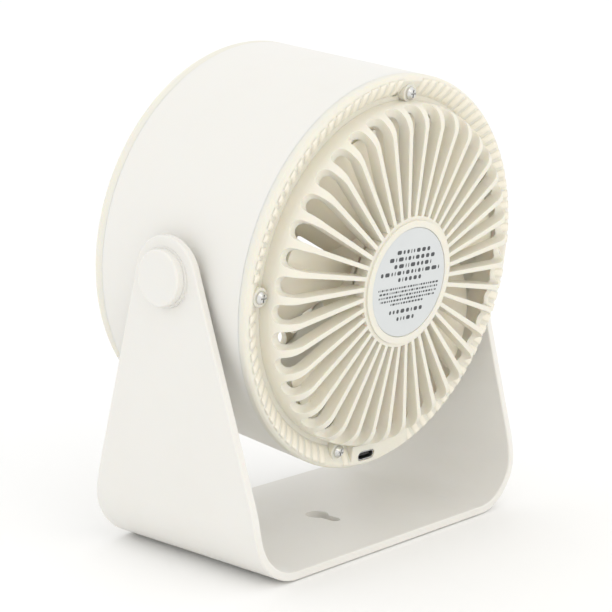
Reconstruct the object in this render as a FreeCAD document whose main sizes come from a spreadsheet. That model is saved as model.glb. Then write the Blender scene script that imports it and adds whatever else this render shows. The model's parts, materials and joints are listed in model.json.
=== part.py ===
# A small USB desk fan: a drum-shaped head that tilts between the arms of a U-shaped stand.
# Millimetres, +Z up, origin at the middle of the underside. The fan blows towards -Y, its rear
# grille faces +Y and the tilt axis runs along X. Head pieces are drawn in the head's own frame,
# which has its origin where the tilt axis meets the fan's axis (Y), and are then tilted and lifted.
import FreeCAD
import Part
import Sketcher
import math
import os
import re
from types import SimpleNamespace

Vector = FreeCAD.Vector
document = FreeCAD.newDocument("DeskFan")

SIZES = {
    # stand
    "padProud": 0.4,            # feet below the bracket
    "padRadius": 6.0,
    "padSink": 1.0,
    "padAcross": 48.0,          # feet from the middle, along X and Y
    "padAlong": 30.0,
    "bandThickness": 3.2,       # wall of the U band
    "baseHalfDepth": 41.6,      # half the depth of the base
    "baseHalfWidth": 76.6,      # outer half width where the arms leave the bends
    "armHalfWidth": 80.6,       # outer half width at the tilt axis: the arms lean out
    "bendRadius": 22.0,
    "armTopRadius": 14.8,
    "armBlend": 60.0,           # soft corner where an arm starts to narrow
    "bandEdge": 0.6,            # rounding of the band's edges
    "pivotHeight": 107.0,
    "headTilt": 7.0,            # the head looks up this much at rest
    "keyholeRadius": 4.5,
    "keyholeBack": 2.0,         # centre of its eye behind the middle of the base
    "keyholeNeck": 2.2,
    "keyholeLength": 9.0,
    # tilt pivots, from the drum outwards
    "bossRadius": 11.0,
    "bossFace": 76.0,
    "washerThickness": 0.75,
    "runningGap": 0.05,
    "collarRise": 0.65,
    "collarLip": 1.0,
    "bushRadius": 4.6,
    "pivotRadius": 3.0,
    "pivotThread": 2.0,
    "pivotHead": 5.0,
    "pivotHeadHeight": 1.9,
    "insertRadius": 3.5,
    "insertLength": 8.8,
    "pillarRadius": 6.5,
    "pillarFloor": 1.0,
    "capRadius": 10.1,
    "capProud": 3.2,
    "capWall": 0.7,
    "capCavity": 8.05,
    "capEdge": 0.8,
    # drum
    "drumRadius": 75.0,
    "drumWall": 2.2,
    "drumForward": 39.0,        # seam to the front grille
    "drumRearward": 31.0,       # seam to the rear cover
    "fitGap": 0.2,
    "spigotWall": 1.2,
    "spigotLength": 4.0,
    "ductRadius": 65.0,
    "ductWall": 1.4,
    # rear cover
    "rimHeight": 35.0,
    "rimWidth": 2.2,
    "rimEdge": 1.8,
    "troughRadius": 67.0,
    "troughHeight": 31.5,
    "coverBack": 29.0,
    "basketRadius": 65.2,
    "basketHeight": 44.3,
    "basketEdge": 8.5,
    "basketWall": 2.7,
    "basketInnerEdge": 4.0,
    "ribDepth": 5.0,
    "hubRadius": 23.4,
    "hubHeight": 45.1,
    "hubWall": 2.1,
    "hubFloor": 41.5,
    "hubSkirt": 3.0,
    "labelRadius": 20.6,
    "labelThickness": 0.4,
    "labelSink": 0.6,
    "slotStart": 24.8,
    "slotWide": 57.0,           # radius where a slot reaches its full width
    "slotInnerHalf": 1.15,
    "slotHalf": 3.45,
    "slotFoot": 37.2,           # lowest point of a slot in the basket's side
    "screwCircle": 68.2,
    "screwBoss": 3.4,
    "screwSeat": 34.4,
    "screwHead": 2.4,
    "screwHeadHeight": 1.6,
    "screwShank": 1.3,
    "screwLength": 18.0,
    "lowScrewAngle": 284.0,
    "postRadius": 3.0,
    "postLength": 20.0,
    "latchAngle": 85.7,         # a small slot in the trough
    "latchWidth": 2.2,
    "latchReach": 1.6,
    "latchDepth": 1.2,
    "padLeft": 24.0,            # flat of the rim round the socket, to -X and to +X
    "padRight": 8.5,
    # front grille
    "frontFace": 44.6,
    "frontPlate": 3.0,
    "frontEdge": 3.0,
    "frontHubRadius": 22.0,
    "frontHubWall": 2.0,
    "frontHubLength": 14.0,
    "frontSlotEnd": 60.0,
    # button and its switch, in the front hub
    "buttonRadius": 8.2,
    "buttonHole": 8.6,
    "buttonProud": 1.4,
    "buttonFlange": 9.8,
    "buttonTravel": 0.8,
    "stemRadius": 2.5,
    "plungerRadius": 1.7,
    "plungerLength": 2.8,
    "switchSide": 6.2,
    "switchDepth": 3.6,
    "switchBoardRadius": 19.6,
    "switchBoardFace": 35.4,
    "boardThickness": 1.4,
    "switchPostAcross": 14.0,
    "switchPostRadius": 2.6,
    "coverPlate": 1.6,
    # motor and fan
    "baseRadius": 20.0,
    "basePlate": 2.0,
    "tubeRadius": 5.5,
    "bearingRadius": 4.0,
    "bearingWidth": 3.0,
    "tubeFront": 24.0,
    "shaftRadius": 1.5,
    "shaftFront": 9.0,
    "shaftRear": 38.6,
    "clipRadius": 2.9,
    "bearingPitch": 9.2,        # from the front bearing to the rear one
    "bearingShoulder": 0.4,
    "motorScrewCircle": 14.0,
    "motorScrewHead": 2.2,
    "motorScrewHeight": 1.2,
    "motorScrewShank": 1.2,
    "motorScrewSeat": 43.1,
    "driverThickness": 1.2,
    "driverWidth": 9.0,
    "statorRadius": 13.6,
    "statorYoke": 7.6,
    "statorFront": 27.0,
    "statorDepth": 8.0,
    "toothWidth": 2.4,
    "coilBuild": 1.0,
    "magnetInner": 14.2,
    "bellRadius": 17.0,
    "bellWall": 1.0,
    "bellFront": 21.5,
    "bellRear": 36.0,
    "fanHubRadius": 21.0,
    "fanHubFront": 17.0,
    "fanHubRear": 35.4,
    "fanHubEdge": 2.0,
    "fanBossRadius": 4.5,
    "fanBossFront": 12.6,
    "nutLength": 2.8,
    "bladeTip": 60.0,
    "bladeMiddle": 27.0,
    "bladeStart": -4.0,         # angle of the first blade at rest
    "bladeThickness": 1.6,
    "bladeRootChord": 22.0,
    "bladeTipChord": 54.0,
    "bladeRootPitch": 38.0,
    "bladeTipPitch": 20.0,
    "bladeCamber": 0.09,        # rise of the blade's arch over its chord
    # control board and socket, under the air duct
    "boardHeight": 69.2,        # underside of the board below the fan's axis
    "boardHalfWidth": 13.0,
    "boardFront": 8.0,
    "boardRear": 28.6,
    "boardScrewAcross": 10.4,
    "boardScrewAlong": 12.5,
    "smallScrewHead": 1.9,
    "smallScrewHeight": 1.1,
    "smallScrewShank": 0.95,
    "socketHalfWidth": 4.5,
    "socketHeight": 3.2,
    "socketLength": 7.4,
    "socketWall": 0.3,
    "socketMouth": 34.7,
    "boardPost": 2.2,
    "leadRadius": 0.5,
    "leadBend": 1.0,
    "leadSpread": 0.9,
}
RIBS = 40
BLADES = 7
TEETH = 9
MOTOR_SCREW_ANGLES = (30, 150, 270)

sheet = document.addObject("Spreadsheet::Sheet", "sizes")
for row, (alias, value) in enumerate(SIZES.items(), start=1):
    sheet.set(f"A{row}", alias)
    sheet.set(f"B{row}", str(value))
    sheet.setAlias(f"B{row}", alias)
document.recompute()
size = SimpleNamespace(**{alias: float(sheet.get(alias)) for alias in SIZES})
finished = []


# ---- helpers -----------------------------------------------------------------------------------
def tied(formula):
    # the formula with each size read from the sheet
    def cell(word):
        return "sizes." + word.group() if word.group() in SIZES else word.group()
    return re.sub(r"[A-Za-z]+", cell, str(formula))


def bind(piece, **formulas):
    for name, formula in formulas.items():
        piece.setExpression(name, tied(formula))
    return piece


def place(piece, x=0, y=0, z=0):
    for axis, formula in (("x", x), ("y", y), ("z", z)):
        piece.setExpression(f"Placement.Base.{axis}", tied(formula))
    return piece


def turn(piece, axis, angle):
    piece.Placement = FreeCAD.Placement(Vector(), FreeCAD.Rotation(Vector(*axis), 1))
    piece.setExpression("Placement.Rotation.Angle", tied(angle))
    return piece


TOWARDS = {"x": ((0, 1, 0), 90), "y": ((-1, 0, 0), 90), "z": ((0, 0, 1), 0)}


def rod(name, radius, length, x=0, y=0, z=0, along="y"):
    piece = document.addObject("Part::Cylinder", name)
    axis, angle = TOWARDS[along]
    piece.Placement = FreeCAD.Placement(Vector(), FreeCAD.Rotation(Vector(*axis), angle))
    bind(piece, Radius=radius, Height=length)
    return place(piece, x, y, z)


def block(name, width, depth, height, x, y, z):
    # x is the middle of the width; y and z are the lowest values
    piece = document.addObject("Part::Box", name)
    bind(piece, Length=width, Width=depth, Height=height)
    return place(piece, f"{x} - ({width}) / 2", y, z)


def cut(name, base, *tools):
    piece = document.addObject("Part::Cut", name)
    piece.Base = base
    piece.Tool = tools[0] if len(tools) == 1 else join(name + "Tools", *tools)
    return piece


def join(name, *pieces):
    whole = document.addObject("Part::MultiFuse", name)
    whole.Shapes = list(pieces)
    return whole


def group(name, *pieces):
    whole = document.addObject("Part::Compound", name)
    whole.Links = list(pieces)
    return whole


def around(name, piece, angle):
    # a copy turned about the fan's axis: 0 is +X, 90 is up
    return turn(group(name, piece), (0, -1, 0), angle)


def pair(name, piece):
    # the piece and its twin on the other side of the head
    return group(name, piece, turn(group(name + "Twin", piece), (0, 0, 1), 180))


def lifted(name, piece):
    # a piece drawn about the tilt axis, raised to it
    return place(group(name, piece), z="pivotHeight")


def tube(name, outer, inner, length, y=0, **where):
    return cut(name, rod(name + "Outer", outer, length, y=y, **where),
               rod(name + "Bore", inner, length, y=y, **where))


def turned(name, corners, along="y"):
    # a body of revolution: corners are (radius, place along the axis)
    body = document.addObject("PartDesign::Body", name)
    sketch = body.newObject("Sketcher::SketchObject", name + "Outline")
    plane = [item for item in body.Origin.OriginFeatures if item.Role == "XY_Plane"][0]
    sketch.AttachmentSupport = [(plane, "")]
    sketch.MapMode = "FlatFace"
    count = len(corners)
    ring = [Vector(40 + 10 * math.cos(2 * math.pi * k / count),
                   10 * math.sin(2 * math.pi * k / count), 0) for k in range(count)]
    for k in range(count):
        sketch.addGeometry(Part.LineSegment(ring[k], ring[(k + 1) % count]))
    for k in range(count):
        sketch.addConstraint(Sketcher.Constraint("Coincident", k, 2, (k + 1) % count, 1))
    for k, (radius, place_along) in enumerate(corners):
        for kind, formula, start in (("DistanceX", radius, ring[k].x),
                                     ("DistanceY", place_along, ring[k].y)):
            index = sketch.addConstraint(Sketcher.Constraint(kind, -1, 1, k, 1, start))
            sketch.renameConstraint(index, f"{kind}{k}")
            sketch.setExpression(f"Constraints.{kind}{k}", tied(formula))
    spin = body.newObject("PartDesign::Revolution", name + "Turned")
    spin.Profile = sketch
    spin.ReferenceAxis = (sketch, ["V_Axis"])
    spin.Angle = 360
    if along == "x":
        body.Placement = FreeCAD.Placement(Vector(), FreeCAD.Rotation(Vector(0, 0, 1), -90))
    return body


def soften(body, radius, *circles):
    # rounds the turned edges that lie at (radius, place along the axis)
    document.recompute()
    base = body.Tip
    names = []
    for number, edge in enumerate(base.Shape.Edges, start=1):
        if not isinstance(edge.Curve, Part.Circle):
            continue
        found = (edge.Curve.Radius, edge.Curve.Center.y)
        if any(math.dist(found, circle) < 0.001 for circle in circles):
            names.append(f"Edge{number}")
    fillet = body.newObject("PartDesign::Fillet", body.Name + "Soft")
    fillet.Base = (base, names)
    bind(fillet, Radius=radius)
    return body


def shaped(name, shape):
    piece = document.addObject("Part::Feature", name)
    piece.Shape = shape
    return piece


def node(label, *pieces, tilted=True):
    whole = group("node_" + label, *pieces)
    whole.Label = label
    if tilted:
        turn(whole, (-1, 0, 0), "headTilt")
        place(whole, z="pivotHeight")
    finished.append(whole)


def screw(name, head, headHeight, shank, length):
    # a pan-head screw along +Y with its seat at the origin and a cross recess
    arm = f"({head}) * 1.2"
    slot = f"({head}) * 0.28"
    deep = f"({headHeight}) * 0.6"
    top = f"({headHeight}) * 0.4"
    body = turned(name + "Body", [
        (0, f"-({length})"), (shank, f"-({length})"), (shank, 0), (head, 0),
        (head, f"({headHeight}) * 0.45"), (f"({head}) * 0.62", headHeight), (0, headHeight)])
    return cut(name, body, block(name + "Slot", arm, deep, slot, 0, top, f"-({slot}) / 2"),
               block(name + "Cross", slot, deep, arm, 0, top, f"-({arm}) / 2"))


def lead(points, bends):
    # a wire along straight runs joined by tangent arcs, one radius for each corner
    points = [Vector(*point) for point in points]
    edges = []
    start = points[0]
    for before, corner, after, bend in zip(points, points[1:], points[2:], bends):
        inward = (before - corner).normalize()
        outward = (after - corner).normalize()
        half = inward.getAngle(outward) / 2
        reach = bend / math.tan(half)
        first = corner + inward * reach
        last = corner + outward * reach
        middle = corner + (inward + outward).normalize() * (bend / math.sin(half) - bend)
        edges += [Part.LineSegment(start, first).toShape(), Part.Arc(first, middle, last).toShape()]
        start = last
    edges.append(Part.LineSegment(start, points[-1]).toShape())
    ring = Part.Wire(Part.Circle(points[0], points[1] - points[0], size.leadRadius).toShape())
    return Part.Wire(edges).makePipeShell([ring], True, False)


# ---- the stand ---------------------------------------------------------------------------------
def bandEdges(inset):
    # one face of the U band, from the top of the +X arm to the top of the -X arm
    middleHeight = size.padProud + size.bendRadius
    lean = math.atan2(size.armHalfWidth - size.baseHalfWidth, size.pivotHeight - middleHeight)
    outward = Vector(math.cos(lean), 0, -math.sin(lean))
    reach = outward.x * size.armHalfWidth + outward.z * size.pivotHeight
    middle = Vector((reach - size.bendRadius - outward.z * middleHeight) / outward.x, 0, middleHeight)
    radius = size.bendRadius - inset
    foot = middle + Vector(0, 0, -radius)
    knee = middle + (outward + Vector(0, 0, -1)).normalize() * radius
    hip = middle + outward * radius
    top = hip + Vector(math.sin(lean), 0, math.cos(lean)) * (size.pivotHeight + size.armTopRadius)

    def other(point):
        return Vector(-point.x, 0, point.z)

    return top, [Part.LineSegment(top, hip), Part.Arc(hip, knee, foot),
                 Part.LineSegment(foot, other(foot)), Part.Arc(other(foot), other(knee), other(hip)),
                 Part.LineSegment(other(hip), other(top))]


def sideOutline():
    # the stand seen along X: a full-depth foot that narrows to a round top
    bend = size.padProud + size.bendRadius
    corner = Vector(0, size.baseHalfDepth, bend)
    centre = Vector(0, 0, size.pivotHeight)
    gap = corner - centre
    spread = math.acos(size.armTopRadius / gap.Length)
    aim = math.atan2(gap.z, gap.y) + spread
    touch = centre + Vector(0, math.cos(aim), math.sin(aim)) * size.armTopRadius
    up = (touch - corner).normalize()
    half = (math.pi - up.getAngle(Vector(0, 0, 1))) / 2
    reach = size.armBlend / math.tan(half)
    low = corner + Vector(0, 0, -reach)
    high = corner + up * reach
    inward = (up + Vector(0, 0, -1)).normalize()
    middle = corner + inward * (size.armBlend / math.sin(half) - size.armBlend)
    base = Vector(0, size.baseHalfDepth, -size.bendRadius)

    def other(point):
        return Vector(0, -point.y, point.z)

    crown = centre + Vector(0, 0, size.armTopRadius)
    edges = [Part.LineSegment(other(base), base), Part.LineSegment(base, low),
             Part.Arc(low, middle, high), Part.LineSegment(high, touch),
             Part.Arc(touch, crown, other(touch)), Part.LineSegment(other(touch), other(high)),
             Part.Arc(other(high), other(middle), other(low)), Part.LineSegment(other(low), other(base))]
    return Part.Face(Part.Wire([edge.toShape() for edge in edges]))


def bandShape():
    outerTop, outer = bandEdges(0)
    innerTop, inner = bandEdges(size.bandThickness)
    ends = [Part.LineSegment(outerTop, innerTop),
            Part.LineSegment(Vector(-outerTop.x, 0, outerTop.z), Vector(-innerTop.x, 0, innerTop.z))]
    edges = [edge.toShape() for edge in outer + inner + ends]
    depth = size.baseHalfDepth * 2 + 10
    profile = Part.Face(Part.Wire(Part.__sortEdges__(edges)))
    profile.translate(Vector(0, -depth / 2, 0))
    band = profile.extrude(Vector(0, depth, 0))
    width = size.armHalfWidth + 10
    outline = sideOutline()
    outline.translate(Vector(-width, 0, 0))
    band = band.common(outline.extrude(Vector(2 * width, 0, 0)))

    def acrossBand(edge):
        return isinstance(edge.Curve, Part.Line) and abs(edge.Curve.Direction.y) > 0.99

    return band.makeFillet(size.bandEdge, [edge for edge in band.Edges if not acrossBand(edge)])


def makeStand():
    collarIn = "bossFace + washerThickness + runningGap"
    collarOut = "armHalfWidth + collarRise"
    collar = f"({collarOut}) - ({collarIn})"
    band = shaped("band", bandShape())
    collars = pair("collars", rod("collar", "bossRadius", collar, x=collarIn, along="x"))
    lip = tube("lip", "capCavity - runningGap", "pivotHead + 1", "collarLip", x=collarOut, along="x")
    whole = join("bracketWhole", band, lifted("collarsUp", collars), lifted("lipsUp", pair("lips", lip)))
    bores = pair("bores", rod("bore", "bushRadius + runningGap", collar, x=collarIn, along="x"))
    keyhole = join(
        "keyhole",
        rod("keyholeEye", "keyholeRadius", "bandThickness * 3", y="keyholeBack", z=-2, along="z"),
        rod("keyholeEnd", "keyholeNeck", "bandThickness * 3", y="keyholeBack + keyholeLength", z=-2,
            along="z"),
        block("keyholeNeckCut", "keyholeNeck * 2", "keyholeLength", "bandThickness * 3", 0, "keyholeBack",
              -2))
    feet = []
    sockets = []
    for number, (across, along) in enumerate([(1, 1), (1, -1), (-1, 1), (-1, -1)], start=1):
        where = {"x": f"padAcross * {across}", "y": f"padAlong * {along}", "along": "z"}
        feet.append(rod(f"foot{number}", "padRadius", "padProud + padSink", **where))
        sockets.append(rod(f"footSocket{number}", "padRadius + fitGap / 2", "padProud + padSink", **where))
    node("stand_bracket", cut("bracket", whole, lifted("boresUp", bores), keyhole, *sockets), tilted=False)
    node("foot_pads", *feet, tilted=False)
    bush = tube("bush", "bushRadius", "pivotRadius", collar, x=collarIn, along="x")
    node("pivot_bushings", lifted("bushesUp", pair("bushes", bush)), tilted=False)
    cap = turned("cap", [
        (0, f"{collarOut} + capProud - capWall"), ("capCavity", f"{collarOut} + capProud - capWall"),
        ("capCavity", collarOut), ("capRadius", collarOut), ("capRadius", f"{collarOut} + capProud"),
        (0, f"{collarOut} + capProud")], along="x")
    soften(cap, "capEdge", (size.capRadius, size.armHalfWidth + size.collarRise + size.capProud))
    node("pivot_cap_left", lifted("capUp", cap), tilted=False)
    twin = turn(group("capTwin", cap), (0, 0, 1), 180)
    node("pivot_cap_right", lifted("capTwinUp", twin), tilted=False)


# ---- the tilt pivots that stay with the head ----------------------------------------------------
def makePivots():
    washer = tube("washer", "bossRadius - 2", "pivotRadius + runningGap", "washerThickness",
                  x="bossFace", along="x")
    node("friction_washers", pair("washers", washer))
    insert = tube("insert", "insertRadius", "pivotThread + runningGap", "insertLength",
                  x="bossFace - insertLength - runningGap", along="x")
    node("pivot_inserts", pair("inserts", insert))
    seat = "armHalfWidth + collarRise + runningGap"
    shoulder = "pivotRadius - runningGap"
    bolt = turned("pivotBolt", [
        (0, "bossFace - insertLength + 0.4"), ("pivotThread", "bossFace - insertLength + 0.4"),
        ("pivotThread", "bossFace"), (shoulder, "bossFace"), (shoulder, seat), ("pivotHead", seat),
        ("pivotHead", f"{seat} + pivotHeadHeight"), (1.5, f"{seat} + pivotHeadHeight"),
        (1.5, f"{seat} + 0.6"), (0, f"{seat} + 0.6")], along="x")
    node("pivot_screws", pair("pivotBolts", bolt))


# ---- drum, duct and covers ----------------------------------------------------------------------
SCREW_ANGLES = (0, 90, 180, "lowScrewAngle")


def slots(inner, outer, low, high, roundFoot):
    # the openings between the ribs, as one cutter; their outer ends are round
    wide = size.slotHalf
    step = 360 / RIBS
    outline = [Vector(inner, low, -size.slotInnerHalf), Vector(size.slotWide, low, -wide),
               Vector(outer, low, -wide), Vector(outer, low, wide), Vector(size.slotWide, low, wide),
               Vector(inner, low, size.slotInnerHalf)]
    one = Part.Face(Part.makePolygon(outline + outline[:1])).extrude(Vector(0, high - low, 0))
    if roundFoot:
        foot = Part.makeCylinder(wide, outer - size.slotWide, Vector(size.slotWide, low, 0),
                                 Vector(1, 0, 0))
        # within the basket's round corner the opening goes right through the ribs
        corner = size.basketRadius - size.basketWall - size.basketInnerEdge
        below = size.basketHeight - size.ribDepth - 1
        through = [Vector(min(point.x, corner), below, point.z) for point in outline]
        end = foot.fuse(Part.Face(Part.makePolygon(through + through[:1])).extrude(
            Vector(0, high - below, 0)))
    else:
        end = Part.makeCylinder(wide, high - low, Vector(outer, low, 0), Vector(0, 1, 0))
    one = one.fuse(end).removeSplitter()
    every = []
    for number in range(RIBS):
        copy = one.copy()
        copy.rotate(Vector(), Vector(0, 1, 0), step * (number + 0.5))
        every.append(copy)
    return Part.makeCompound(every)


def makeDrum():
    inner = "drumRadius - drumWall"
    wall = turned("drumWallTube", [("drumRadius", "-drumForward"), ("drumRadius", "drumRearward"),
                                   (inner, "drumRearward"), (inner, "-drumForward")])
    boss = rod("pivotBoss", "bossRadius", "bossFace - drumRadius + drumWall", x=inner, along="x")
    pillarStart = "bossFace - insertLength - pillarFloor"
    pillar = rod("pivotPillar", "pillarRadius", "insertLength", x=pillarStart, along="x")
    hollow = rod("insertHole", "insertRadius + runningGap", "insertLength + 1",
                 x="bossFace - insertLength - runningGap", along="x")
    post = rod("post", "postRadius", "postLength", x="screwCircle", y="coverBack - postLength")
    web = block("postWeb", "drumWall + 2", "postLength - spigotLength", 2.4,
                f"{inner} - 0.6", "coverBack - postLength", -1.2)
    pilot = rod("postPilot", "screwShank + runningGap", "postLength", x="screwCircle",
                y="coverBack - postLength + 3")
    posts = []
    pilots = []
    for number, angle in enumerate(SCREW_ANGLES, start=1):
        posts.append(around(f"post{number}", join(f"postWhole{number}", post, web), angle))
        pilots.append(around(f"pilot{number}", pilot, angle))
    boardPosts = []
    for side in (1, -1):
        where = {"x": f"boardScrewAcross * {side}", "y": "boardScrewAlong", "along": "z"}
        name = "boardPostLeft" if side > 0 else "boardPostRight"
        boardPosts.append(rod(name, "boardPost", f"{inner} + 0.6 - boardHeight", z=f"-({inner}) - 0.6",
                              **where))
        pilots.append(rod(name + "Pilot", "smallScrewShank + runningGap", 3, z="-boardHeight - 3 + 0.01",
                          **where))
    within = rod("drumLimit", "drumRadius - drumWall / 2", "drumForward + drumRearward", y="-drumForward")
    trimmed = document.addObject("Part::MultiCommon", "innerPosts")
    trimmed.Shapes = [join("innerPostsWhole", *posts, *boardPosts), within]
    shell = join("shellWhole", wall, pair("bosses", boss), pair("pillars", pillar), trimmed)
    node("drum_shell", cut("shell", shell, pair("insertHoles", hollow), *pilots))

    duct = tube("ductWall", "ductRadius", "ductRadius - ductWall",
                "frontFace - frontPlate + coverBack", y="frontPlate - frontFace")
    rearNotch = block("ductRearNotch", 5, 5, 6, 0, "coverBack - 4", "-ductRadius - 2")
    frontNotch = block("ductFrontNotch", 5, 4, 6, 0, "frontPlate - frontFace - 1", "-ductRadius - 2")
    node("air_duct", cut("duct", duct, rearNotch, frontNotch))


def makeRearCover():
    spigotOut = "drumRadius - drumWall - fitGap"
    spigotIn = f"{spigotOut} - spigotWall"
    floor = "hubHeight - labelSink"
    bore = "hubRadius - hubWall"
    under = "basketHeight - ribDepth"
    cover = turned("coverBody", [
        (0, floor), ("labelRadius + fitGap", floor), ("labelRadius + fitGap", "hubHeight"),
        ("hubRadius", "hubHeight"), ("hubRadius", "basketHeight"), ("basketRadius", "basketHeight"),
        ("basketRadius", "troughHeight"), ("troughRadius", "troughHeight"),
        ("drumRadius - rimWidth", "rimHeight"), ("drumRadius", "rimHeight"),
        ("drumRadius", "drumRearward"), (spigotOut, "drumRearward"),
        (spigotOut, "drumRearward - spigotLength"), (spigotIn, "drumRearward - spigotLength"),
        (spigotIn, "drumRearward"), ("troughRadius", "coverBack"),
        ("basketRadius - basketWall", "coverBack"), ("basketRadius - basketWall", under),
        ("hubRadius", under), ("hubRadius", "hubFloor - hubSkirt"), (bore, "hubFloor - hubSkirt"),
        (bore, "hubFloor"), (0, "hubFloor")])
    soften(cover, "basketEdge", (size.basketRadius, size.basketHeight))
    soften(cover, "basketInnerEdge", (size.basketRadius - size.basketWall,
                                      size.basketHeight - size.ribDepth))
    soften(cover, "rimEdge", (size.drumRadius, size.rimHeight))
    boss = rod("coverBoss", "screwBoss", "screwSeat - coverBack", x="screwCircle", y="coverBack")
    hole = rod("coverHole", "screwShank + 0.15", "screwSeat - coverBack + 2", x="screwCircle",
               y="coverBack - 1")
    bosses = [around(f"boss{number}", boss, angle) for number, angle in enumerate(SCREW_ANGLES)]
    holes = [around(f"bossHole{number}", hole, angle) for number, angle in enumerate(SCREW_ANGLES)]
    padRing = tube("padRing", "drumRadius - rimWidth / 2", "troughRadius - 0.6",
                   "rimHeight - drumRearward", y="drumRearward")
    padBlock = block("padBlock", "padLeft + padRight", "rimHeight", "drumRadius / 2",
                     "(padRight - padLeft) / 2", 1, "-drumRadius")
    pad = document.addObject("Part::MultiCommon", "socketPad")
    pad.Shapes = [padRing, padBlock]
    whole = join("coverWhole", cover, pad, *bosses)
    slotTool = shaped("rearSlots", slots(size.slotStart, size.basketRadius + 1,
                                         size.slotFoot + size.slotHalf, size.hubHeight + 2, True))
    mouth = socketOutline("mouth", "socketHalfWidth + 0.3", "socketHeight / 2 + 0.3",
                          "coverBack - 3", "rimHeight - coverBack + 5")
    notch = block("spigotNotch", "socketHalfWidth * 2 + 3", "spigotLength + 1.5", 5, 0,
                  "drumRearward - spigotLength - 1", "-drumRadius + 1")
    latchCut = block("latchCut", "latchReach", "latchDepth * 3", "latchWidth", "troughRadius + 0.6",
                     "troughHeight - latchDepth", "-latchWidth / 2")
    latch = around("latchSlot", latchCut, "latchAngle")
    motorHoles = []
    for number, angle in enumerate(MOTOR_SCREW_ANGLES):
        through = rod(f"motorHole{number}", "motorScrewShank + 0.15", "hubHeight - hubFloor",
                      x="motorScrewCircle", y="hubFloor - 1")
        sink = rod(f"motorSink{number}", "motorScrewHead + 0.3", "hubHeight - motorScrewSeat",
                   x="motorScrewCircle", y="motorScrewSeat")
        motorHoles.append(around(f"motorHoles{number}", join(f"motorCut{number}", through, sink), angle))
    node("rear_cover", cut("cover", whole, slotTool, mouth, notch, latch, *holes, *motorHoles))
    node("hub_label", rod("label", "labelRadius", "labelThickness", y=floor))
    one = screw("coverScrew", "screwHead", "screwHeadHeight", "screwShank", "screwLength")
    seated = place(group("coverScrewSeated", one), x="screwCircle", y="screwSeat")
    node("cover_screws", *[around(f"coverScrew{number}", seated, angle)
                           for number, angle in enumerate(SCREW_ANGLES)])


def makeFrontGrille():
    inner = "drumRadius - drumWall - fitGap"
    back = "frontPlate - frontFace"
    hubEnd = "frontHubLength - frontFace"
    front = turned("frontBody", [
        ("buttonHole", "-frontFace"), ("drumRadius", "-frontFace"), ("drumRadius", "-drumForward"),
        (inner, "-drumForward"), (inner, "spigotLength - drumForward"),
        (f"{inner} - spigotWall", "spigotLength - drumForward"), (f"{inner} - spigotWall", back),
        ("frontHubRadius", back), ("frontHubRadius", hubEnd),
        ("frontHubRadius - frontHubWall", hubEnd),
        ("frontHubRadius - frontHubWall", "frontHubWall - frontFace"),
        ("buttonHole", "frontHubWall - frontFace")])
    soften(front, "frontEdge", (size.drumRadius, -size.frontFace))
    posts = []
    holes = []
    for number, side in enumerate((1, -1)):
        where = {"x": f"switchPostAcross * {side}", "y": "frontHubWall - frontFace"}
        posts.append(rod(f"switchPost{number}", "switchPostRadius",
                         "frontFace - frontHubWall - switchBoardFace", **where))
        holes.append(rod(f"switchPilot{number}", "smallScrewShank + runningGap", 5,
                         x=where["x"], y="-switchBoardFace - 4"))
    slotTool = shaped("frontSlots", slots(size.slotStart, size.frontSlotEnd, -size.frontFace - 1,
                                          size.frontPlate - size.frontFace + 1, False))
    exitHole = block("switchLeadExit", 4, 2.4, 6, 0, "-switchBoardFace + boardThickness",
                     "-frontHubRadius - 1")
    node("front_grille", cut("frontGrille", join("frontWhole", front, *posts), slotTool, exitHole, *holes))


# ---- button and switch --------------------------------------------------------------------------
def makeSwitch():
    wallBack = "frontHubWall - frontFace"
    stemEnd = "-switchBoardFace - switchDepth - 1"
    button = turned("button", [
        (0, "-frontFace - buttonProud"), ("buttonRadius", "-frontFace - buttonProud"),
        ("buttonRadius", f"{wallBack} + 0.1"), ("buttonFlange", f"{wallBack} + 0.1"),
        ("buttonFlange", f"{wallBack} + 1.1"), ("stemRadius", f"{wallBack} + 1.1"),
        ("stemRadius", stemEnd), (0, stemEnd)])
    soften(button, 0.9, (size.buttonRadius, -size.frontFace - size.buttonProud))
    node("power_button", button)
    node("switch_plunger", rod("plunger", "plungerRadius", "plungerLength", y=stemEnd))
    case = block("switchCase", "switchSide", "switchDepth", "switchSide", 0,
                 "-switchBoardFace - switchDepth", "-switchSide / 2")
    well = rod("plungerWell", "plungerRadius + runningGap", "plungerLength - 1 + buttonTravel + 0.3",
               y="-switchBoardFace - switchDepth")
    node("tact_switch", cut("switchBody", case, well))
    board = rod("switchBoardDisc", "switchBoardRadius", "boardThickness", y="-switchBoardFace")
    holes = []
    screws = []
    one = screw("switchScrew", "smallScrewHead", "smallScrewHeight", "smallScrewShank", 4.5)
    for number, side in enumerate((1, -1)):
        where = {"x": f"switchPostAcross * {side}"}
        holes.append(rod(f"switchBoardHole{number}", "smallScrewShank + 0.15", "boardThickness + 2",
                         y="-switchBoardFace - 1", **where))
        screws.append(place(group(f"switchScrew{number}", one), y="boardThickness - switchBoardFace",
                            **where))
    node("switch_board", cut("switchBoardCut", board, *holes))
    node("switch_board_screws", *screws)
    node("switch_cover", rod("switchCoverDisc", "frontHubRadius - frontHubWall - runningGap",
                             "coverPlate", y="frontHubLength - frontFace - coverPlate"))


# ---- motor and fan ------------------------------------------------------------------------------
def radialBlock(inner, outer, width, front, rear):
    return Part.makeBox(outer - inner, rear - front, width, Vector(inner, front, -width / 2))


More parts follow.
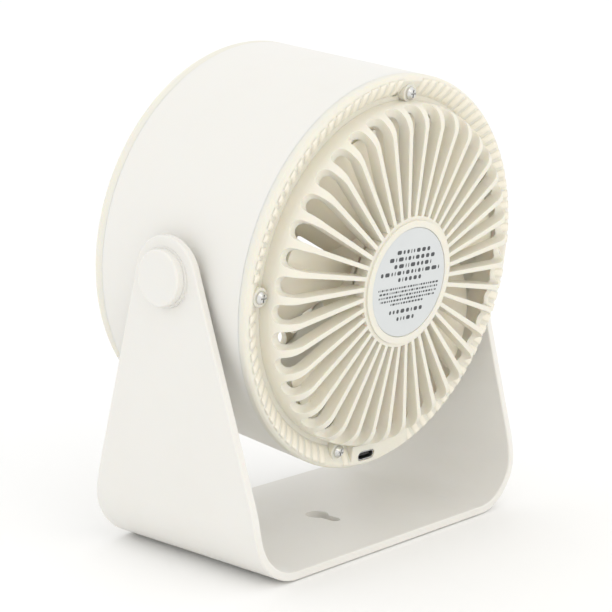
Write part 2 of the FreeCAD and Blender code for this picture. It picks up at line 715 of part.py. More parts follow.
def statorShapes():
    front = size.statorFront
    rear = front + size.statorDepth
    yoke = Part.makeCylinder(size.statorYoke, size.statorDepth, Vector(0, front, 0), Vector(0, 1, 0))
    limit = Part.makeCylinder(size.statorRadius, size.statorDepth, Vector(0, front, 0), Vector(0, 1, 0))
    bore = Part.makeCylinder(size.tubeRadius + size.runningGap, size.statorDepth + 2,
                             Vector(0, front - 1, 0), Vector(0, 1, 0))
    tipDepth = 1.3
    tooth = radialBlock(size.tubeRadius, size.statorRadius + 1, size.toothWidth, front, rear)
    tip = radialBlock(size.statorRadius - tipDepth, size.statorRadius + 1, size.toothWidth * 2.8,
                      front, rear)
    width = size.toothWidth + 2 * size.coilBuild
    coil = radialBlock(size.statorYoke + 0.3, size.statorRadius - tipDepth - 0.1, width,
                       front - size.coilBuild, rear + size.coilBuild)
    coil = coil.cut(radialBlock(size.tubeRadius, size.statorRadius, size.toothWidth + 0.06,
                                front - 0.03, rear + 0.03))
    teeth = []
    coils = []
    for number in range(TEETH):
        for source, store in ((tooth, teeth), (tip, teeth), (coil, coils)):
            copy = source.copy()
            copy.rotate(Vector(), Vector(0, 1, 0), 360 / TEETH * number)
            store.append(copy)
    core = yoke.multiFuse(teeth).common(limit).cut(bore).removeSplitter()
    return core, Part.makeCompound(coils)


def bladeShape():
    # a broad arched blade lofted between three stations, with its tip trimmed to a circle
    stations = []
    root = size.fanHubRadius - 2.5
    beyond = size.bladeTip + 6
    for radius in (root, (root + beyond) / 2, beyond):
        share = (radius - root) / (size.bladeTip - root)
        chord = size.bladeRootChord + (size.bladeTipChord - size.bladeRootChord) * share
        pitch = math.radians(size.bladeRootPitch + (size.bladeTipPitch - size.bladeRootPitch) * share)
        along = Vector(0, math.sin(pitch), math.cos(pitch))
        across = Vector(0, math.cos(pitch), -math.sin(pitch))
        middle = Vector(radius, size.bladeMiddle, 0)
        half = along * (chord / 2)
        thick = across * (size.bladeThickness / 2)
        rise = across * (chord * size.bladeCamber)
        upper = Part.Arc(middle - half + thick, middle + rise + thick, middle + half + thick)
        lower = Part.Arc(middle + half - thick, middle + rise - thick, middle - half - thick)
        stations.append(Part.Wire([
            upper.toShape(), Part.LineSegment(middle + half + thick, middle + half - thick).toShape(),
            lower.toShape(), Part.LineSegment(middle - half - thick, middle - half + thick).toShape()]))
    blade = Part.makeLoft(stations, True, False)
    limit = Part.makeCylinder(size.bladeTip, 80, Vector(0, size.bladeMiddle - 40, 0), Vector(0, 1, 0))
    core = Part.makeCylinder(size.fanHubRadius - 1.5, 80, Vector(0, size.bladeMiddle - 40, 0),
                             Vector(0, 1, 0))
    return blade.common(limit).cut(core)


def makeMotor():
    plateFront = "hubFloor - basePlate"
    base = turned("motorBaseBody", [
        (0, "hubFloor"), ("baseRadius", "hubFloor"), ("baseRadius", plateFront),
        ("tubeRadius", plateFront), ("tubeRadius", "tubeFront"), ("bearingRadius", "tubeFront"),
        ("bearingRadius", plateFront), (0, plateFront)])
    holes = []
    screws = []
    one = screw("motorScrew", "motorScrewHead", "motorScrewHeight", "motorScrewShank",
                "motorScrewSeat - hubFloor + basePlate - 0.2")
    seated = place(group("motorScrewSeated", one), x="motorScrewCircle", y="motorScrewSeat")
    hole = rod("motorBaseHole", "motorScrewShank + runningGap", "basePlate + 2",
               x="motorScrewCircle", y=f"{plateFront} - 1")
    for number, angle in enumerate(MOTOR_SCREW_ANGLES):
        holes.append(around(f"motorBaseHole{number}", hole, angle))
        screws.append(around(f"motorScrew{number}", seated, angle))
    node("motor_base", cut("motorBase", base, *holes))
    node("motor_screws", *screws)
    bearings = [tube(name, "bearingRadius - runningGap", "shaftRadius + runningGap", "bearingWidth", y=y)
                for name, y in (("frontBearing", "tubeFront + bearingShoulder"),
                                ("rearBearing", "tubeFront + bearingShoulder + bearingPitch"))]
    node("motor_bearings", *bearings)
    core, coils = statorShapes()
    node("stator_core", shaped("core", core))
    node("stator_coils", shaped("coils", coils))
    inside = "tubeRadius + 0.5"
    node("driver_board", tube("driverRing", f"{inside} + driverWidth", inside, "driverThickness",
                              y=f"{plateFront} - driverThickness"))
    groove = "tubeFront + bearingShoulder + bearingPitch + bearingWidth + 0.2"
    shaft = turned("shaft", [
        (0, "shaftFront"), ("shaftRadius", "shaftFront"), ("shaftRadius", groove),
        ("shaftRadius - 0.3", groove), ("shaftRadius - 0.3", f"{groove} + 0.6"),
        ("shaftRadius", f"{groove} + 0.6"), ("shaftRadius", "shaftRear"), (0, "shaftRear")])
    node("motor_shaft", shaft)
    node("shaft_clip", tube("clip", "clipRadius", "shaftRadius - 0.28", 0.5, y=f"{groove} + 0.05"))
    bell = turned("bell", [
        ("shaftRadius + 0.02", "bellFront"), ("bellRadius", "bellFront"), ("bellRadius", "bellRear"),
        ("bellRadius - bellWall", "bellRear"), ("bellRadius - bellWall", "bellFront + bellWall"),
        ("shaftRadius + 0.02", "bellFront + bellWall")])
    node("rotor_bell", bell)
    node("magnet_ring", tube("magnet", "bellRadius - bellWall - runningGap", "magnetInner",
                             "statorDepth + 2", y="statorFront - 1"))


def makeFan():
    hub = turned("fanHub", [
        ("shaftRadius + 0.02", "fanBossFront"), ("fanBossRadius", "fanBossFront"),
        ("fanBossRadius", "fanHubFront"), ("fanHubRadius - fanHubEdge", "fanHubFront"),
        ("fanHubRadius", "fanHubFront + fanHubEdge"), ("fanHubRadius", "fanHubRear"),
        ("bellRadius + runningGap", "fanHubRear"), ("bellRadius + runningGap", "bellFront - runningGap"),
        ("shaftRadius + 0.02", "bellFront - runningGap")])
    blade = shaped("blade", bladeShape())
    blades = [around(f"blade{number}", blade, f"bladeStart + {360 / BLADES * number}")
              for number in range(BLADES)]
    node("fan_blades", join("fan", hub, *blades))
    node("fan_nut", tube("nut", "fanBossRadius - 0.5", "shaftRadius + 0.02", "nutLength",
                         y="fanBossFront - nutLength"))


# ---- control board, socket and wires ------------------------------------------------------------
def socketOutline(name, halfWidth, halfHeight, start, length):
    # a rod of the socket's flat oval section, along Y
    middle = "-boardHeight - socketHeight / 2"
    ends = [rod(f"{name}End{number}", halfHeight, length, y=start, z=middle,
                x=f"(({halfWidth}) - ({halfHeight})) * {side}") for number, side in enumerate((1, -1))]
    flat = block(f"{name}Flat", f"2 * (({halfWidth}) - ({halfHeight}))", length, f"2 * ({halfHeight})",
                 0, start, f"{middle} - ({halfHeight})")
    return join(name, *ends, flat)


def makeElectronics():
    board = block("controlBoardBlank", "boardHalfWidth * 2", "boardRear - boardFront", "boardThickness",
                  0, "boardFront", "-boardHeight")
    holes = []
    screws = []
    upright = screw("boardScrew", "smallScrewHead", "smallScrewHeight", "smallScrewShank",
                    "boardThickness + 2.4")
    one = turn(upright, (1, 0, 0), 90)
    for number, side in enumerate((1, -1)):
        where = {"x": f"boardScrewAcross * {side}", "y": "boardScrewAlong"}
        holes.append(rod(f"boardHole{number}", "smallScrewShank + 0.15", "boardThickness + 2",
                         z="-boardHeight - 1", along="z", **where))
        screws.append(place(group(f"boardScrew{number}", one), z="boardThickness - boardHeight", **where))
    node("control_board", cut("controlBoard", board, *holes))
    node("board_screws", *screws)
    top = "boardThickness - boardHeight"
    node("board_parts", block("chip", 5, 4, 0.9, 5.2, 19, top), block("coil", 4, 4, 1.5, -5, 20, top),
         block("lightPart", 1.6, 0.8, 0.6, -6.5, 15.6, top), block("resistor", 1.6, 0.8, 0.6, 6, 15.6, top))
    start = "socketMouth - socketLength"
    outer = socketOutline("socketOuter", "socketHalfWidth", "socketHeight / 2", start, "socketLength")
    inner = socketOutline("socketInner", "socketHalfWidth - socketWall",
                          "socketHeight / 2 - socketWall", f"{start} + socketWall", "socketLength")
    node("usb_socket", cut("socket", outer, inner))
    plug = socketOutline("tongueRoot", "socketHalfWidth - socketWall - runningGap",
                         "socketHeight / 2 - socketWall - runningGap", f"{start} + socketWall", 1.6)
    tongue = block("tongueBlade", 6.6, "socketLength - 1.4", 0.7, 0, f"{start} + socketWall",
                   "-boardHeight - socketHeight / 2 - 0.35")
    node("usb_tongue", join("tongue", plug, tongue))


def makeLeads():
    radius = size.leadRadius
    air = 0.1
    bend = size.leadBend
    onBoard = -size.boardHeight + size.boardThickness + radius + air / 2
    behindRib = size.basketHeight - size.ribDepth - radius - air
    behindDriver = size.hubFloor - size.basePlate - size.driverThickness - radius - air
    side = -(size.basketRadius - size.basketWall - radius - air)
    sweep = size.basketInnerEdge - radius - air
    through = size.coverBack - 2
    behindFront = size.frontPlate - size.frontFace + radius + air
    boardBack = -size.switchBoardFace + size.boardThickness + radius + air
    motorLeads = []
    switchLeads = []
    for x in (size.leadSpread, -size.leadSpread):
        motorLeads.append(lead([
            (x, behindDriver, 8 - size.baseRadius), (x, behindDriver, -size.hubRadius - 3),
            (x, behindRib, -size.hubRadius - 7), (x, behindRib, side), (x, through, side),
            (x, through, onBoard), (x, through - 4, onBoard)], [bend, bend, sweep, bend, bend]))
        switchLeads.append(lead([
            (x, boardBack, 6 - size.switchBoardRadius), (x, boardBack, -size.frontHubRadius - 3),
            (x, behindFront, -size.frontHubRadius - 9), (x, behindFront, onBoard),
            (x, size.boardFront + 3, onBoard)], [bend] * 3))
    node("motor_leads", shaped("motorLeadPair", Part.makeCompound(motorLeads)))
    node("switch_leads", shaped("switchLeadPair", Part.makeCompound(switchLeads)))


# ---- build, check and write ---------------------------------------------------------------------
def check():
    for item in document.Objects:
        if {"Invalid", "Error"} & set(item.State):
            raise RuntimeError(f"{item.Label} failed: {item.State}")
    for piece in finished:
        if piece.Shape.isNull() or not piece.Shape.isValid() or not piece.Shape.Solids:
            raise RuntimeError(f"{piece.Label} has no sound shape")


def write():
    os.makedirs("parts", exist_ok=True)
    for piece in finished:
        solids = piece.Shape.Solids
        shape = solids[0] if len(solids) == 1 else Part.makeCompound(solids)
        shape.exportStep(f"parts/{piece.Label}.step")
        print(f"{piece.Label}: {len(solids)} solid(s), {shape.Volume / 1000:.2f} cm3")


makeStand()
makePivots()
makeDrum()
makeRearCover()
makeFrontGrille()
makeSwitch()
makeMotor()
makeFan()
makeElectronics()
makeLeads()
document.recompute()
check()
write()
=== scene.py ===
import bmesh
import bpy
import json
import math
import random
from mathutils import Matrix, Vector


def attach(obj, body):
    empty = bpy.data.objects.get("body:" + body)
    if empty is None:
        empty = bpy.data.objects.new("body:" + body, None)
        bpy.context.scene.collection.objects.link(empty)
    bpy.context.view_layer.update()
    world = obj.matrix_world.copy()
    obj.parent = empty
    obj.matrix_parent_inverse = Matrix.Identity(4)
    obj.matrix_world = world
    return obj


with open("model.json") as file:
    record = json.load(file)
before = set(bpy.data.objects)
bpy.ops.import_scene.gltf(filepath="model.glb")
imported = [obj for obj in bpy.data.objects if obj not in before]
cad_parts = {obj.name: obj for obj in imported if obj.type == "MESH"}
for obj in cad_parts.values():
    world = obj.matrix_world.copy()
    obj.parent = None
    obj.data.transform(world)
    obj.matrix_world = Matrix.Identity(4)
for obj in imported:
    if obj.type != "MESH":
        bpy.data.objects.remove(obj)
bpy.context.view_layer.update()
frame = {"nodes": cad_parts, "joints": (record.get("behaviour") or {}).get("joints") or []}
nodes = frame["nodes"]
joints = {joint["name"]: joint for joint in frame["joints"]}
mm = 0.001

# the head's own frame: origin on the tilt axis, Y towards the rear grille, Z up
pivot = Vector(joints["head_tilt"]["pos_m"])
sideways = Vector(joints["head_tilt"]["axis"])
rearward = Vector(joints["fan_spin"]["axis"]).normalized()
upward = sideways.cross(rearward)
headFrame = Matrix((sideways, rearward, upward)).transposed().to_4x4()
headFrame.translation = pivot


def reach(name, direction):
    # how far a node goes from the pivot along a direction
    return max((vertex.co - pivot).dot(direction) for vertex in nodes[name].data.vertices)


labelRadius = reach("hub_label", sideways)
labelFace = reach("hub_label", rearward)


# ---- shader helpers
class Socket:
    # an output of a node, which takes arithmetic
    def __init__(self, graph, output):
        self.graph = graph
        self.output = output

    def maths(self, operation, first, second):
        return self.graph.node("ShaderNodeMath", {"operation": operation}, {0: first, 1: second})

    def __add__(self, other):
        return self.maths("ADD", self, other)

    def __radd__(self, other):
        return self.maths("ADD", other, self)

    def __sub__(self, other):
        return self.maths("SUBTRACT", self, other)

    def __rsub__(self, other):
        return self.maths("SUBTRACT", other, self)

    def __mul__(self, other):
        return self.maths("MULTIPLY", self, other)

    def __rmul__(self, other):
        return self.maths("MULTIPLY", other, self)


class Graph:
    # one material and its nodes
    def __init__(self, name, **fixed):
        self.material = bpy.data.materials.new(name)
        self.material.use_nodes = True
        self.tree = self.material.node_tree
        self.shader = self.tree.nodes["Principled BSDF"]
        for words, value in fixed.items():
            self.shader.inputs[words.replace("_", " ")].default_value = value

    def node(self, kind, settings=None, sockets=None, output=0):
        made = self.tree.nodes.new(kind)
        for name, value in (settings or {}).items():
            if name == "stops":
                for stop, (place, level) in zip(made.color_ramp.elements, value):
                    stop.position = place
                    stop.color = (level, level, level, 1)
            else:
                setattr(made, name, value)
        for key, value in (sockets or {}).items():
            if isinstance(value, Socket):
                self.tree.links.new(value.output, made.inputs[key])
            else:
                made.inputs[key].default_value = value
        return Socket(self, made.outputs[output])

    def place(self):
        return self.node("ShaderNodeTexCoord", output="Object")

    def noise(self, perMetre, detail=2.0, rough=0.5, at=None):
        sockets = {"Vector": at or self.place(), "Scale": perMetre, "Detail": detail, "Roughness": rough}
        return self.node("ShaderNodeTexNoise", {}, sockets)

    def ramp(self, level, low, high):
        return self.node("ShaderNodeValToRGB", {"stops": ((low, 0), (high, 1))}, {0: level})

    def mix(self, factor, first, second):
        # sockets 6 and 7 and output 2 are the mix node's colours
        colours = {0: factor}
        for key, colour in ((6, first), (7, second)):
            colours[key] = colour if isinstance(colour, Socket) else (*colour, 1)
        return self.node("ShaderNodeMix", {"data_type": "RGBA"}, colours, output=2)

    def bump(self, height, distance, strength=1.0, edge=0.0):
        sockets = {"Height": height, "Distance": distance, "Strength": strength}
        if edge:
            sockets["Normal"] = self.node("ShaderNodeBevel", {"samples": 4}, {"Radius": edge})
        return self.node("ShaderNodeBump", {}, sockets)

    def feed(self, **links):
        for words, value in links.items():
            self.tree.links.new(value.output, self.shader.inputs[words.replace("_", " ")])
        return self.material


# ---- finishes
def mouldedPlastic(name, look):
    # fine spark texture, slow drift of tone as in a cooled moulding, and faint handling marks
    graph = Graph(name, Specular_IOR_Level=look["shine"], Subsurface_Weight=look["glow"],
                  Subsurface_Radius=look["glowReach"], Subsurface_Scale=mm)
    drift = graph.noise(look["driftPerMetre"], 3.0)
    grain = graph.noise(look["grainPerMetre"], 2.0, 0.6)
    specks = graph.ramp(graph.noise(look["speckPerMetre"], 1.0), *look["speckLevels"])
    marks = graph.ramp(graph.noise(look["marksPerMetre"], 5.0, 0.65), *look["marksLevels"])
    tone = graph.mix(drift, look["tone"], look["drift"])
    tone = graph.mix(specks * look["speckDepth"], tone, look["speck"])
    tone = graph.mix(marks * look["marksDepth"], tone, look["speck"])
    rough = look["rough"] + (grain - 0.5) * look["roughGrain"] + marks * look["roughMarks"]
    return graph.feed(Base_Color=tone, Roughness=rough,
                      Normal=graph.bump(grain, look["grainDepth"], 1.0, look["edge"]))


ivoryPlastic = {
    "tone": (0.80, 0.788, 0.75), "drift": (0.785, 0.77, 0.728), "speck": (0.62, 0.58, 0.50),
    "glow": 0.12, "glowReach": (1.6, 1.2, 0.8),          # light that soaks through the wall, in mm
    "driftPerMetre": 22, "grainPerMetre": 2600, "speckPerMetre": 900, "marksPerMetre": 60,
    "speckLevels": (0.70, 0.78), "marksLevels": (0.52, 0.72),
    "speckDepth": 0.05, "marksDepth": 0.03, "rough": 0.38, "roughGrain": 0.10, "roughMarks": 0.07,
    "grainDepth": 0.012 * mm, "shine": 0.45, "edge": 0.35 * mm,
}
creamPlastic = dict(ivoryPlastic, tone=(0.80, 0.778, 0.692), drift=(0.78, 0.752, 0.658),
                    glow=0.35, glowReach=(3.0, 2.2, 1.2),
                    rough=0.46, roughGrain=0.14, grainPerMetre=2100, grainDepth=0.018 * mm, shine=0.4,
                    edge=0.3 * mm)
capPlastic = dict(ivoryPlastic, rough=0.33, roughGrain=0.08, grainPerMetre=3200)
# painted light: the blades' cream is set lighter than the cover's cream, to brighten them inside the
# shaded duct
bladePaintedBright = dict(creamPlastic, tone=(0.91, 0.86, 0.75), drift=(0.89, 0.83, 0.71), rough=0.34)
flutePlastic = dict(creamPlastic, glow=0, tone=(0.89, 0.85, 0.745), drift=(0.87, 0.825, 0.71))
nylonPlastic = dict(creamPlastic, tone=(0.80, 0.78, 0.70), drift=(0.77, 0.75, 0.67), rough=0.5)
blackPlastic = dict(ivoryPlastic, glow=0, tone=(0.018, 0.018, 0.02), drift=(0.026, 0.026, 0.028),
                    speck=(0.06, 0.06, 0.06), rough=0.42, edge=0.08 * mm)
redPlastic = dict(blackPlastic, tone=(0.55, 0.03, 0.025), drift=(0.48, 0.025, 0.02), rough=0.35)


def workedMetal(name, look):
    # a bright metal with fine turning lines, stains and small scratches
    graph = Graph(name)
    place = graph.place()
    lines = graph.node("ShaderNodeTexWave", {"wave_type": "RINGS", "rings_direction": "Y"},
                       {"Vector": place, "Scale": look["linesPerMetre"],
                        "Distortion": look["lineWander"], "Detail": 2.0})
    stains = graph.noise(look["stainsPerMetre"], 4.0, 0.6)
    grain = graph.noise(look["grainPerMetre"], 2.0)
    tone = graph.mix(stains, look["tone"], look["stain"])
    rough = look["rough"] + (stains - 0.5) * look["roughStains"] + (grain - 0.5) * look["roughGrain"]
    depth = lines * 0.5 + grain * 0.5
    metallic = 1.0 - graph.ramp(stains, *look["dullLevels"]) * look["dull"]
    return graph.feed(Base_Color=tone, Roughness=rough, Metallic=metallic,
                      Normal=graph.bump(depth, look["depth"], look["strength"], look["edge"]))


platedSteel = {"tone": (0.78, 0.78, 0.765), "stain": (0.60, 0.60, 0.59), "rough": 0.24, "dull": 0.12,
               "dullLevels": (0.66, 0.9), "roughStains": 0.16, "roughGrain": 0.12,
               "linesPerMetre": 900, "lineWander": 2.5, "stainsPerMetre": 420, "grainPerMetre": 5200,
               "depth": 0.006 * mm, "strength": 0.6, "edge": 0.06 * mm}
brightSteel = dict(platedSteel, tone=(0.58, 0.58, 0.58), stain=(0.46, 0.46, 0.47), rough=0.3)
turnedBrass = dict(platedSteel, tone=(0.78, 0.58, 0.27), stain=(0.58, 0.41, 0.17))
castAlloy = dict(platedSteel, tone=(0.60, 0.61, 0.62), stain=(0.48, 0.49, 0.50), rough=0.48, dull=0.3)
coilCopper = dict(platedSteel, tone=(0.62, 0.26, 0.12), stain=(0.45, 0.17, 0.07), rough=0.32,
                  linesPerMetre=2400, depth=0.05 * mm)
ferrite = dict(platedSteel, tone=(0.06, 0.06, 0.065), stain=(0.035, 0.035, 0.04), rough=0.6, dull=0.9)


def circuitBoard(name, look):
    # green lacquer over copper tracks and glass weave
    graph = Graph(name)
    place = graph.place()
    weave = graph.node("ShaderNodeTexWave", {"bands_direction": "X"},
                       {"Vector": place, "Scale": look["weavePerMetre"]})
    cells = graph.node("ShaderNodeTexVoronoi", {"distance": "CHEBYCHEV"},
                       {"Vector": place, "Scale": look["cellsPerMetre"]})
    tracks = graph.ramp(cells, *look["trackLevels"])
    tone = graph.mix(tracks * look["trackShare"], look["lacquer"], look["track"])
    tone = graph.mix(weave * look["weaveShare"], tone, look["weave"])
    rough = look["rough"] + weave * look["roughWeave"]
    return graph.feed(Base_Color=tone, Roughness=rough,
                      Normal=graph.bump(tracks, look["depth"], look["strength"]))


boardLacquer = {"lacquer": (0.012, 0.11, 0.045), "track": (0.03, 0.20, 0.08), "weave": (0.1, 0.3, 0.15),
                "weavePerMetre": 900, "cellsPerMetre": 260, "trackLevels": (0.30, 0.36),
                "trackShare": 0.6, "weaveShare": 0.1, "rough": 0.3, "roughWeave": 0.08,
                "depth": 0.03 * mm, "strength": 0.5}


def softRubber(name, look):
    # matt silicone that gathers a little lint
    graph = Graph(name, Sheen_Weight=look["sheen"])
    dust = graph.ramp(graph.noise(look["dustPerMetre"], 4.0, 0.7), *look["dustLevels"])
    grain = graph.noise(look["grainPerMetre"], 2.0)
    tone = graph.mix(dust * look["dustShare"], look["tone"], look["dust"])
    rough = look["rough"] + dust * look["roughDust"]
    return graph.feed(Base_Color=tone, Roughness=rough,
                      Normal=graph.bump(grain, look["depth"], look["strength"], look["edge"]))


footSilicone = {"tone": (0.60, 0.585, 0.54), "dust": (0.45, 0.44, 0.41), "rough": 0.68,
                "sheen": 0.15, "dustPerMetre": 1800, "dustLevels": (0.55, 0.72), "dustShare": 0.35,
                "roughDust": 0.15, "grainPerMetre": 3800, "depth": 0.03 * mm, "strength": 0.8,
                "edge": 0.15 * mm}
washerRubber = dict(footSilicone, tone=(0.025, 0.025, 0.026), dust=(0.12, 0.12, 0.12), rough=0.75)


def labelFilm(name, look):
    # cool grey film or the ink on it, a little uneven
    graph = Graph(name)
    drift = graph.noise(look["driftPerMetre"], 3.0)
    tooth = graph.noise(look["toothPerMetre"], 2.0)
    tone = graph.mix(drift, look["tone"], look["drift"])
    rough = look["rough"] + (tooth - 0.5) * look["roughTooth"]
    return graph.feed(Base_Color=tone, Roughness=rough,
                      Normal=graph.bump(tooth, look["depth"], look["strength"]))


greyFilm = {"tone": (0.66, 0.685, 0.695), "drift": (0.62, 0.645, 0.655), "rough": 0.5,
            "driftPerMetre": 90, "toothPerMetre": 5200, "roughTooth": 0.12,
            "depth": 0.004 * mm, "strength": 0.7}
printInk = dict(greyFilm, tone=(0.045, 0.05, 0.055), drift=(0.075, 0.08, 0.085), rough=0.55)

finishes = {
    "ivory": mouldedPlastic("ivory_shell_plastic", ivoryPlastic),
    "cream": mouldedPlastic("cream_cover_plastic", creamPlastic),
    "cap": mouldedPlastic("ivory_cap_plastic", capPlastic),
    "blade": mouldedPlastic("cream_blade_painted_light", bladePaintedBright),
    "flute": mouldedPlastic("cream_flute_plastic", flutePlastic),
    "nylon": mouldedPlastic("natural_nylon", nylonPlastic),
    "black": mouldedPlastic("black_moulding", blackPlastic),
    "sleeve": mouldedPlastic("red_wire_sleeve", redPlastic),
    "screw": workedMetal("plated_screw_steel", platedSteel),
    "steel": workedMetal("bright_steel", brightSteel),
    "brass": workedMetal("turned_brass", turnedBrass),
    "alloy": workedMetal("cast_alloy", castAlloy),
    "copper": workedMetal("coil_copper", coilCopper),
    "magnet": workedMetal("bonded_ferrite", ferrite),
    "board": circuitBoard("board_lacquer", boardLacquer),
    "foot": softRubber("foot_silicone", footSilicone),
    "washer": softRubber("washer_rubber", washerRubber),
    "label": labelFilm("label_film", greyFilm),
    "ink": labelFilm("label_ink", printInk),
}
wearers = {
    "ivory": ["stand_bracket", "drum_shell"],
    "cap": ["pivot_cap_left", "pivot_cap_right", "power_button"],
    "cream": ["rear_cover", "front_grille", "air_duct", "switch_cover"],
    "blade": ["fan_blades"],
    "nylon": ["pivot_bushings"],
    "black": ["usb_tongue", "tact_switch", "switch_plunger", "board_parts"],
    "sleeve": ["motor_leads", "switch_leads"],
    "screw": ["cover_screws", "switch_board_screws", "motor_screws", "board_screws"],
    "steel": ["pivot_screws", "motor_bearings", "stator_core", "motor_shaft", "shaft_clip",
              "rotor_bell", "usb_socket"],
    "brass": ["pivot_inserts", "fan_nut"],
    "alloy": ["motor_base"],
    "copper": ["stator_coils"],
    "magnet": ["magnet_ring"],
    "board": ["switch_board", "driver_board", "control_board"],
    "foot": ["foot_pads"],
    "washer": ["friction_washers"],
    "label": ["hub_label"],
}
for finish, names in wearers.items():
    for name in names:
        surface = nodes[name]
        surface.data.materials.clear()
        surface.data.materials.append(finishes[finish])
print("finishes:", len(finishes), "on", len(nodes), "nodes")


def finishPiece(name, mesh, finish, body, smooth=True):
    # a mesh in the head's own frame becomes a piece that rides on a body
    bmesh.ops.recalc_face_normals(mesh, faces=mesh.faces)
    bmesh.ops.transform(mesh, matrix=headFrame, verts=mesh.verts)
    data = bpy.data.meshes.new(name)
    mesh.to_mesh(data)
    mesh.free()
    for face in data.polygons:
        face.use_smooth = smooth
    data.materials.append(finishes[finish])
    piece = bpy.data.objects.new(name, data)
    bpy.context.collection.objects.link(piece)
    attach(piece, body)


# ---- flutes: rounded ridges across the sloping trough inside the rear rim
fluteLook = {
    "count": 96,
    "inner": 67.3 * mm, "outer": 73.6 * mm,
    # the slope's two ends: radius, and place along the axis
    "slopeInner": 67.0 * mm, "slopeLow": 31.5 * mm,
    "slopeOuter": 72.8 * mm, "slopeHigh": 35.0 * mm,
    "height": 0.8 * mm, "root": 0.25 * mm, "sink": 0.02 * mm,
    "rounding": 0.4,                                     # lower is squarer
    "width": 0.64,                                       # of the pitch
    # degrees left plain for the screws, the socket and the latch slot
    "clear": ((250, 277.5), (281, 287.2), (357, 363), (87, 93), (177, 183)),
    "steps": 8,
}


def makeFlutes(look):
    mesh = bmesh.new()
    steps = look["steps"]
    pitch = 360 / look["count"]
    rise = (look["slopeHigh"] - look["slopeLow"]) / (look["slopeOuter"] - look["slopeInner"])
    for number in range(look["count"]):
        middle = (number + 0.5) * pitch
        if any(low < middle < high or low < middle + 360 < high for low, high in look["clear"]):
            continue
        top = []
        bottom = []
        for outward in range(steps + 1):
            share = outward / steps
            radius = look["inner"] + (look["outer"] - look["inner"]) * share
            floor = look["slopeLow"] + (radius - look["slopeInner"]) * rise
            arch = math.sin(math.pi * share) ** look["rounding"]
            topRow = []
            bottomRow = []
            for across in range(steps + 1):
                turn = across / steps * 2 - 1
                angle = math.radians(middle + turn * look["width"] * pitch / 2)
                crown = max(0.0, 1 - turn * turn) ** look["rounding"]
                lift = look["height"] * arch * crown - look["sink"]
                x = radius * math.cos(angle)
                z = radius * math.sin(angle)
                topRow.append(mesh.verts.new((x, floor + lift, z)))
                bottomRow.append(mesh.verts.new((x, floor - look["root"], z)))
            top.append(topRow)
            bottom.append(bottomRow)
        for i in range(steps):
            for j in range(steps):
                for rows in (top, bottom):
                    mesh.faces.new((rows[i][j], rows[i + 1][j], rows[i + 1][j + 1], rows[i][j + 1]))
            for j in (0, steps):
                mesh.faces.new((top[i][j], top[i + 1][j], bottom[i + 1][j], bottom[i][j]))
                mesh.faces.new((top[j][i], top[j][i + 1], bottom[j][i + 1], bottom[j][i]))
    finishPiece("trough_flutes", mesh, "flute", "head")


makeFlutes(fluteLook)
print("flutes done")

# ---- label print: plain dashes in rows, no lettering
printLook = {
    # each row's height, its length as a share of the label there, and its thickness, in mm
    "rows": ((12.0, 0.62, 1.5), (9.4, 0.74, 1.5), (6.8, 0.62, 1.5), (4.2, 0.86, 1.5), (1.6, 0.34, 1.5),
             (-1.5, 0.86, 0.75), (-3.0, 0.86, 0.75), (-4.5, 0.84, 0.75), (-6.0, 0.82, 0.75),
             (-7.5, 0.5, 0.75), (-10.6, 0.56, 1.5), (-13.5, 0.36, 1.5)),
    "thickness": 0.03 * mm,
    "gap": 0.25,                                         # between dashes, of a dash's height
    "shortest": 0.7, "longest": 2.4,                     # a dash's length, of its height
    "roundSteps": 5, "endSquash": 0.6,
    "seed": 12,
}


def makeLabelPrint(look):
    mesh = bmesh.new()
    chance = random.Random(look["seed"])
    for height, share, thick in look["rows"]:
        height = height * mm
        thick = thick * mm
        half = math.sqrt(labelRadius ** 2 - height ** 2) * share
        x = -half
        while x < half - thick:
            length = min(thick * chance.uniform(look["shortest"], look["longest"]), half - x)
            radius = thick * 0.5
            outline = []
            for end, start in ((x + length - radius, -90), (x + radius, 90)):
                for step in range(look["roundSteps"]):
                    angle = math.radians(start + 180 * step / (look["roundSteps"] - 1))
                    outline.append((end + radius * look["endSquash"] * math.cos(angle),
                                    height + radius * math.sin(angle)))
            low = [mesh.verts.new((a, labelFace - look["thickness"], b)) for a, b in outline]
            high = [mesh.verts.new((a, labelFace + look["thickness"], b)) for a, b in outline]
            mesh.faces.new(high)
            mesh.faces.new(low)
            for k in range(len(outline)):
                after = (k + 1) % len(outline)
                mesh.faces.new((low[k], low[after], high[after], high[k]))
            x += length + look["gap"] * thick
    finishPiece("label_print", mesh, "ink", "head", smooth=False)


makeLabelPrint(printLook)
print("label done")

# ---- floor, light and camera
studio = {
    "floorSize": 60.0, "floorTone": (0.96, 0.958, 0.952), "floorDrift": (0.95, 0.948, 0.94),
    "floorDriftPerMetre": 1.5, "floorRough": 0.7, "floorShine": 0.2,
    "sky": 1.08,
    "lights": {
        # to the camera's side, towards it and up, in metres; then size in metres, watts and colour
        "key": ((-1.0, 0.7, 0.9), 0.8, 0.9, (0.9, 0.96, 1.0)),
        "fill": ((0.9, 1.0, 0.6), 0.8, 2.0, (1.0, 0.88, 0.68)),
    },
}
cameraLook = {
    "azimuth": 131.4, "elevation": 10.2, "roll": 1.12,   # degrees
    "distance": 0.6644, "aimHeight": 0.091,              # metres
    "lens": 101.65, "sensor": 36, "shiftX": -0.0191, "shiftY": -0.0186,
}
azimuth = math.radians(cameraLook["azimuth"])
elevation = math.radians(cameraLook["elevation"])
roll = math.radians(cameraLook["roll"])
aim = Vector((0, 0, cameraLook["aimHeight"]))
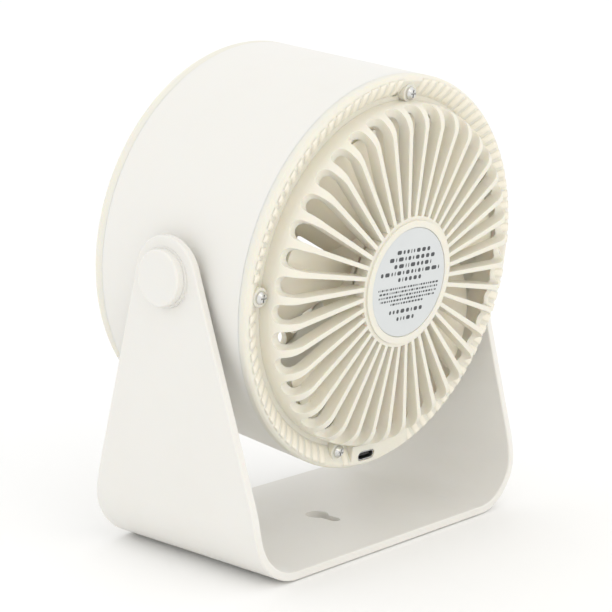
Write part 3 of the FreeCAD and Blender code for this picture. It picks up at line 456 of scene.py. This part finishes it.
back = Vector((math.sin(azimuth) * math.cos(elevation), -math.cos(azimuth) * math.cos(elevation),
               math.sin(elevation)))
right = Vector((0, 0, 1)).cross(back).normalized()
level = back.cross(right)
tiltedRight = right * math.cos(roll) + level * math.sin(roll)
tiltedUp = back.cross(tiltedRight)


def makeCamera(look):
    data = bpy.data.cameras.new("camera")
    data.lens = look["lens"]
    data.sensor_width = look["sensor"]
    data.shift_x = look["shiftX"]
    data.shift_y = look["shiftY"]
    camera = bpy.data.objects.new("camera", data)
    bpy.context.collection.objects.link(camera)
    camera.matrix_world = Matrix.Translation(aim + back * look["distance"]) @ Matrix(
        (tiltedRight, tiltedUp, back)).transposed().to_4x4()
    bpy.context.scene.camera = camera


def makeStudio(look):
    mesh = bmesh.new()
    bmesh.ops.create_grid(mesh, x_segments=2, y_segments=2, size=look["floorSize"] / 2)
    data = bpy.data.meshes.new("floor")
    mesh.to_mesh(data)
    mesh.free()
    floor = bpy.data.objects.new("floor", data)
    bpy.context.collection.objects.link(floor)
    graph = Graph("studio_floor", Roughness=look["floorRough"], Specular_IOR_Level=look["floorShine"])
    drift = graph.noise(look["floorDriftPerMetre"], 2.0)
    data.materials.append(graph.feed(Base_Color=graph.mix(drift, look["floorTone"], look["floorDrift"])))
    world = bpy.data.worlds.new("studio")
    bpy.context.scene.world = world
    world.use_nodes = True
    sky = world.node_tree.nodes["Background"]
    sky.inputs["Color"].default_value = (1, 1, 1, 1)
    sky.inputs["Strength"].default_value = look["sky"]
    towardsCamera = Vector((back.x, back.y, 0)).normalized()
    for name, ((across, near, up), size, power, colour) in look["lights"].items():
        light = bpy.data.lights.new(name, "AREA")
        light.shape = "DISK"
        light.size = size
        light.energy = power
        light.color = colour
        lamp = bpy.data.objects.new(name, light)
        bpy.context.collection.objects.link(lamp)
        lamp.location = aim + right * across + towardsCamera * near + Vector((0, 0, up))
        lamp.rotation_euler = (lamp.location - aim).to_track_quat("Z", "Y").to_euler()


makeCamera(cameraLook)
makeStudio(studio)
bpy.context.scene.view_settings.view_transform = "Standard"
print("studio done")
